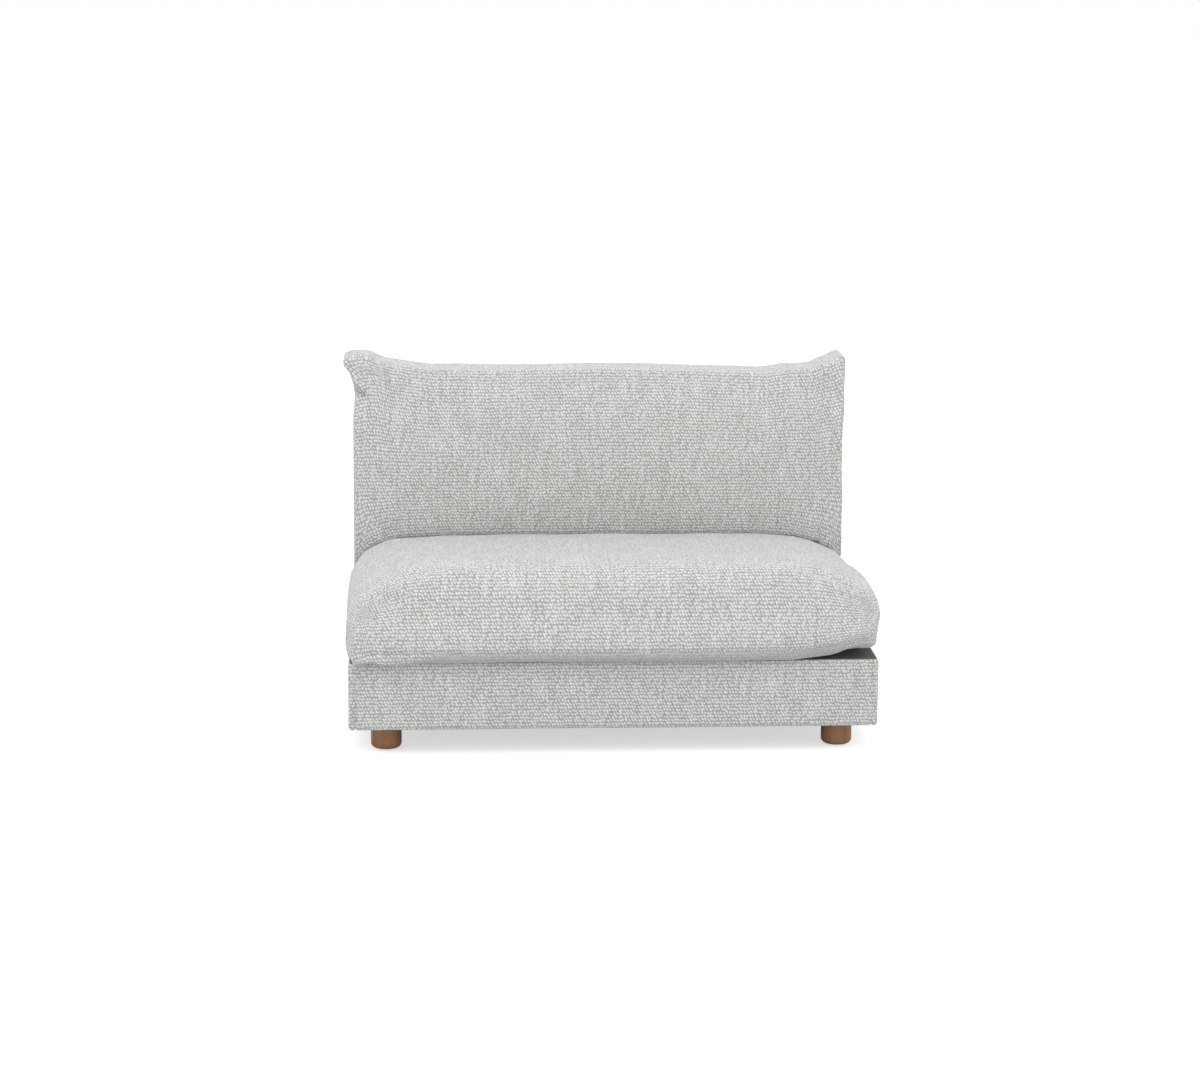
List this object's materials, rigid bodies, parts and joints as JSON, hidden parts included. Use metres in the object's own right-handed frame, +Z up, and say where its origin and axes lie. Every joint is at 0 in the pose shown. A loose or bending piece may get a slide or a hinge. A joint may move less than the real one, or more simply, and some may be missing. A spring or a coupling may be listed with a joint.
{
  "type": "sofa module",
  "caption": "Armless upholstered sofa module with a low base on round wooden feet, a loose crowned seat cushion and a loose back cushion with raised upper corners.",
  "frame": {"origin": "on the floor, under the middle of the module", "axes": "+Z up, -Y the front that faces the sitter's legs, +X to the right as seen from the front"},
  "size_m": [1.314, 0.9622, 0.8997],
  "materials": {
    "cover_cloth": "chunky light grey woven upholstery cloth",
    "wadding": "white polyester fibre wadding",
    "foam": "cut polyurethane foam",
    "deck_cloth": "dark grey deck cloth",
    "dust_cloth": "black non-woven dust cloth",
    "webbing": "elastic webbing",
    "frame_timber": "planed softwood",
    "plywood": "birch plywood",
    "fibreboard": "thin hard fibreboard",
    "foot_wood": "turned hardwood, walnut stain, satin lacquer",
    "zinc_steel": "zinc plated steel",
    "felt": "pressed felt"
  },
  "bodies": {
    "base": {"back_centre_post": "frame_timber", "back_cover_front": "cover_cloth", "back_cover_left": "cover_cloth", "back_cover_rear": "cover_cloth", "back_cover_right": "cover_cloth", "back_cover_top": "cover_cloth", "back_foam": "foam", "back_outer_board": "fibreboard", "back_post_left": "plywood", "back_post_right": "plywood", "back_tack_rail": "frame_timber", "back_top_rail": "frame_timber", "back_wadding_left": "wadding", "back_wadding_rear": "wadding", "back_wadding_right": "wadding", "back_wadding_top": "wadding", "back_webbing_cross": "webbing", "back_webbing_long": "webbing", "base_cover_front": "cover_cloth", "base_cover_left": "cover_cloth", "base_cover_rear": "cover_cloth", "base_cover_right": "cover_cloth", "base_wadding_front": "wadding", "base_wadding_left": "wadding", "base_wadding_rear": "wadding", "base_wadding_right": "wadding", "centre_rail": "frame_timber", "dust_cover": "dust_cloth", "foot_bolts": "zinc_steel", "foot_front_left": "foot_wood", "foot_front_right": "foot_wood", "foot_glides": "felt", "foot_inserts": "zinc_steel", "foot_plate_front_left": "plywood", "foot_plate_front_right": "plywood", "foot_plate_rear_left": "plywood", "foot_plate_rear_right": "plywood", "foot_rear_left": "foot_wood", "foot_rear_right": "foot_wood", "front_rail": "frame_timber", "gusset_left": "plywood", "gusset_right": "plywood", "joining_inserts": "zinc_steel", "rear_rail": "frame_timber", "seat_deck": "deck_cloth", "seat_rear_rail": "frame_timber", "seat_webbing_cross": "webbing", "seat_webbing_long": "webbing", "side_rail_left": "frame_timber", "side_rail_right": "frame_timber"},
    "seat_cushion": {"seat_cushion_cover": "cover_cloth", "seat_foam_core": "foam"},
    "back_cushion": {"back_cushion_cover": "cover_cloth", "back_fibre_fill": "wadding"}
  },
  "joints": [
    {"name": "seat_cushion_lift", "type": "slide", "parent": "base", "child": "seat_cushion", "axis": [0, 0, 1], "range_m": [0, 0.5]},
    {"name": "back_cushion_lift", "type": "slide", "parent": "seat_cushion", "child": "back_cushion", "axis": [0, 0, 1], "range_m": [0, 0.35]}
  ]
}
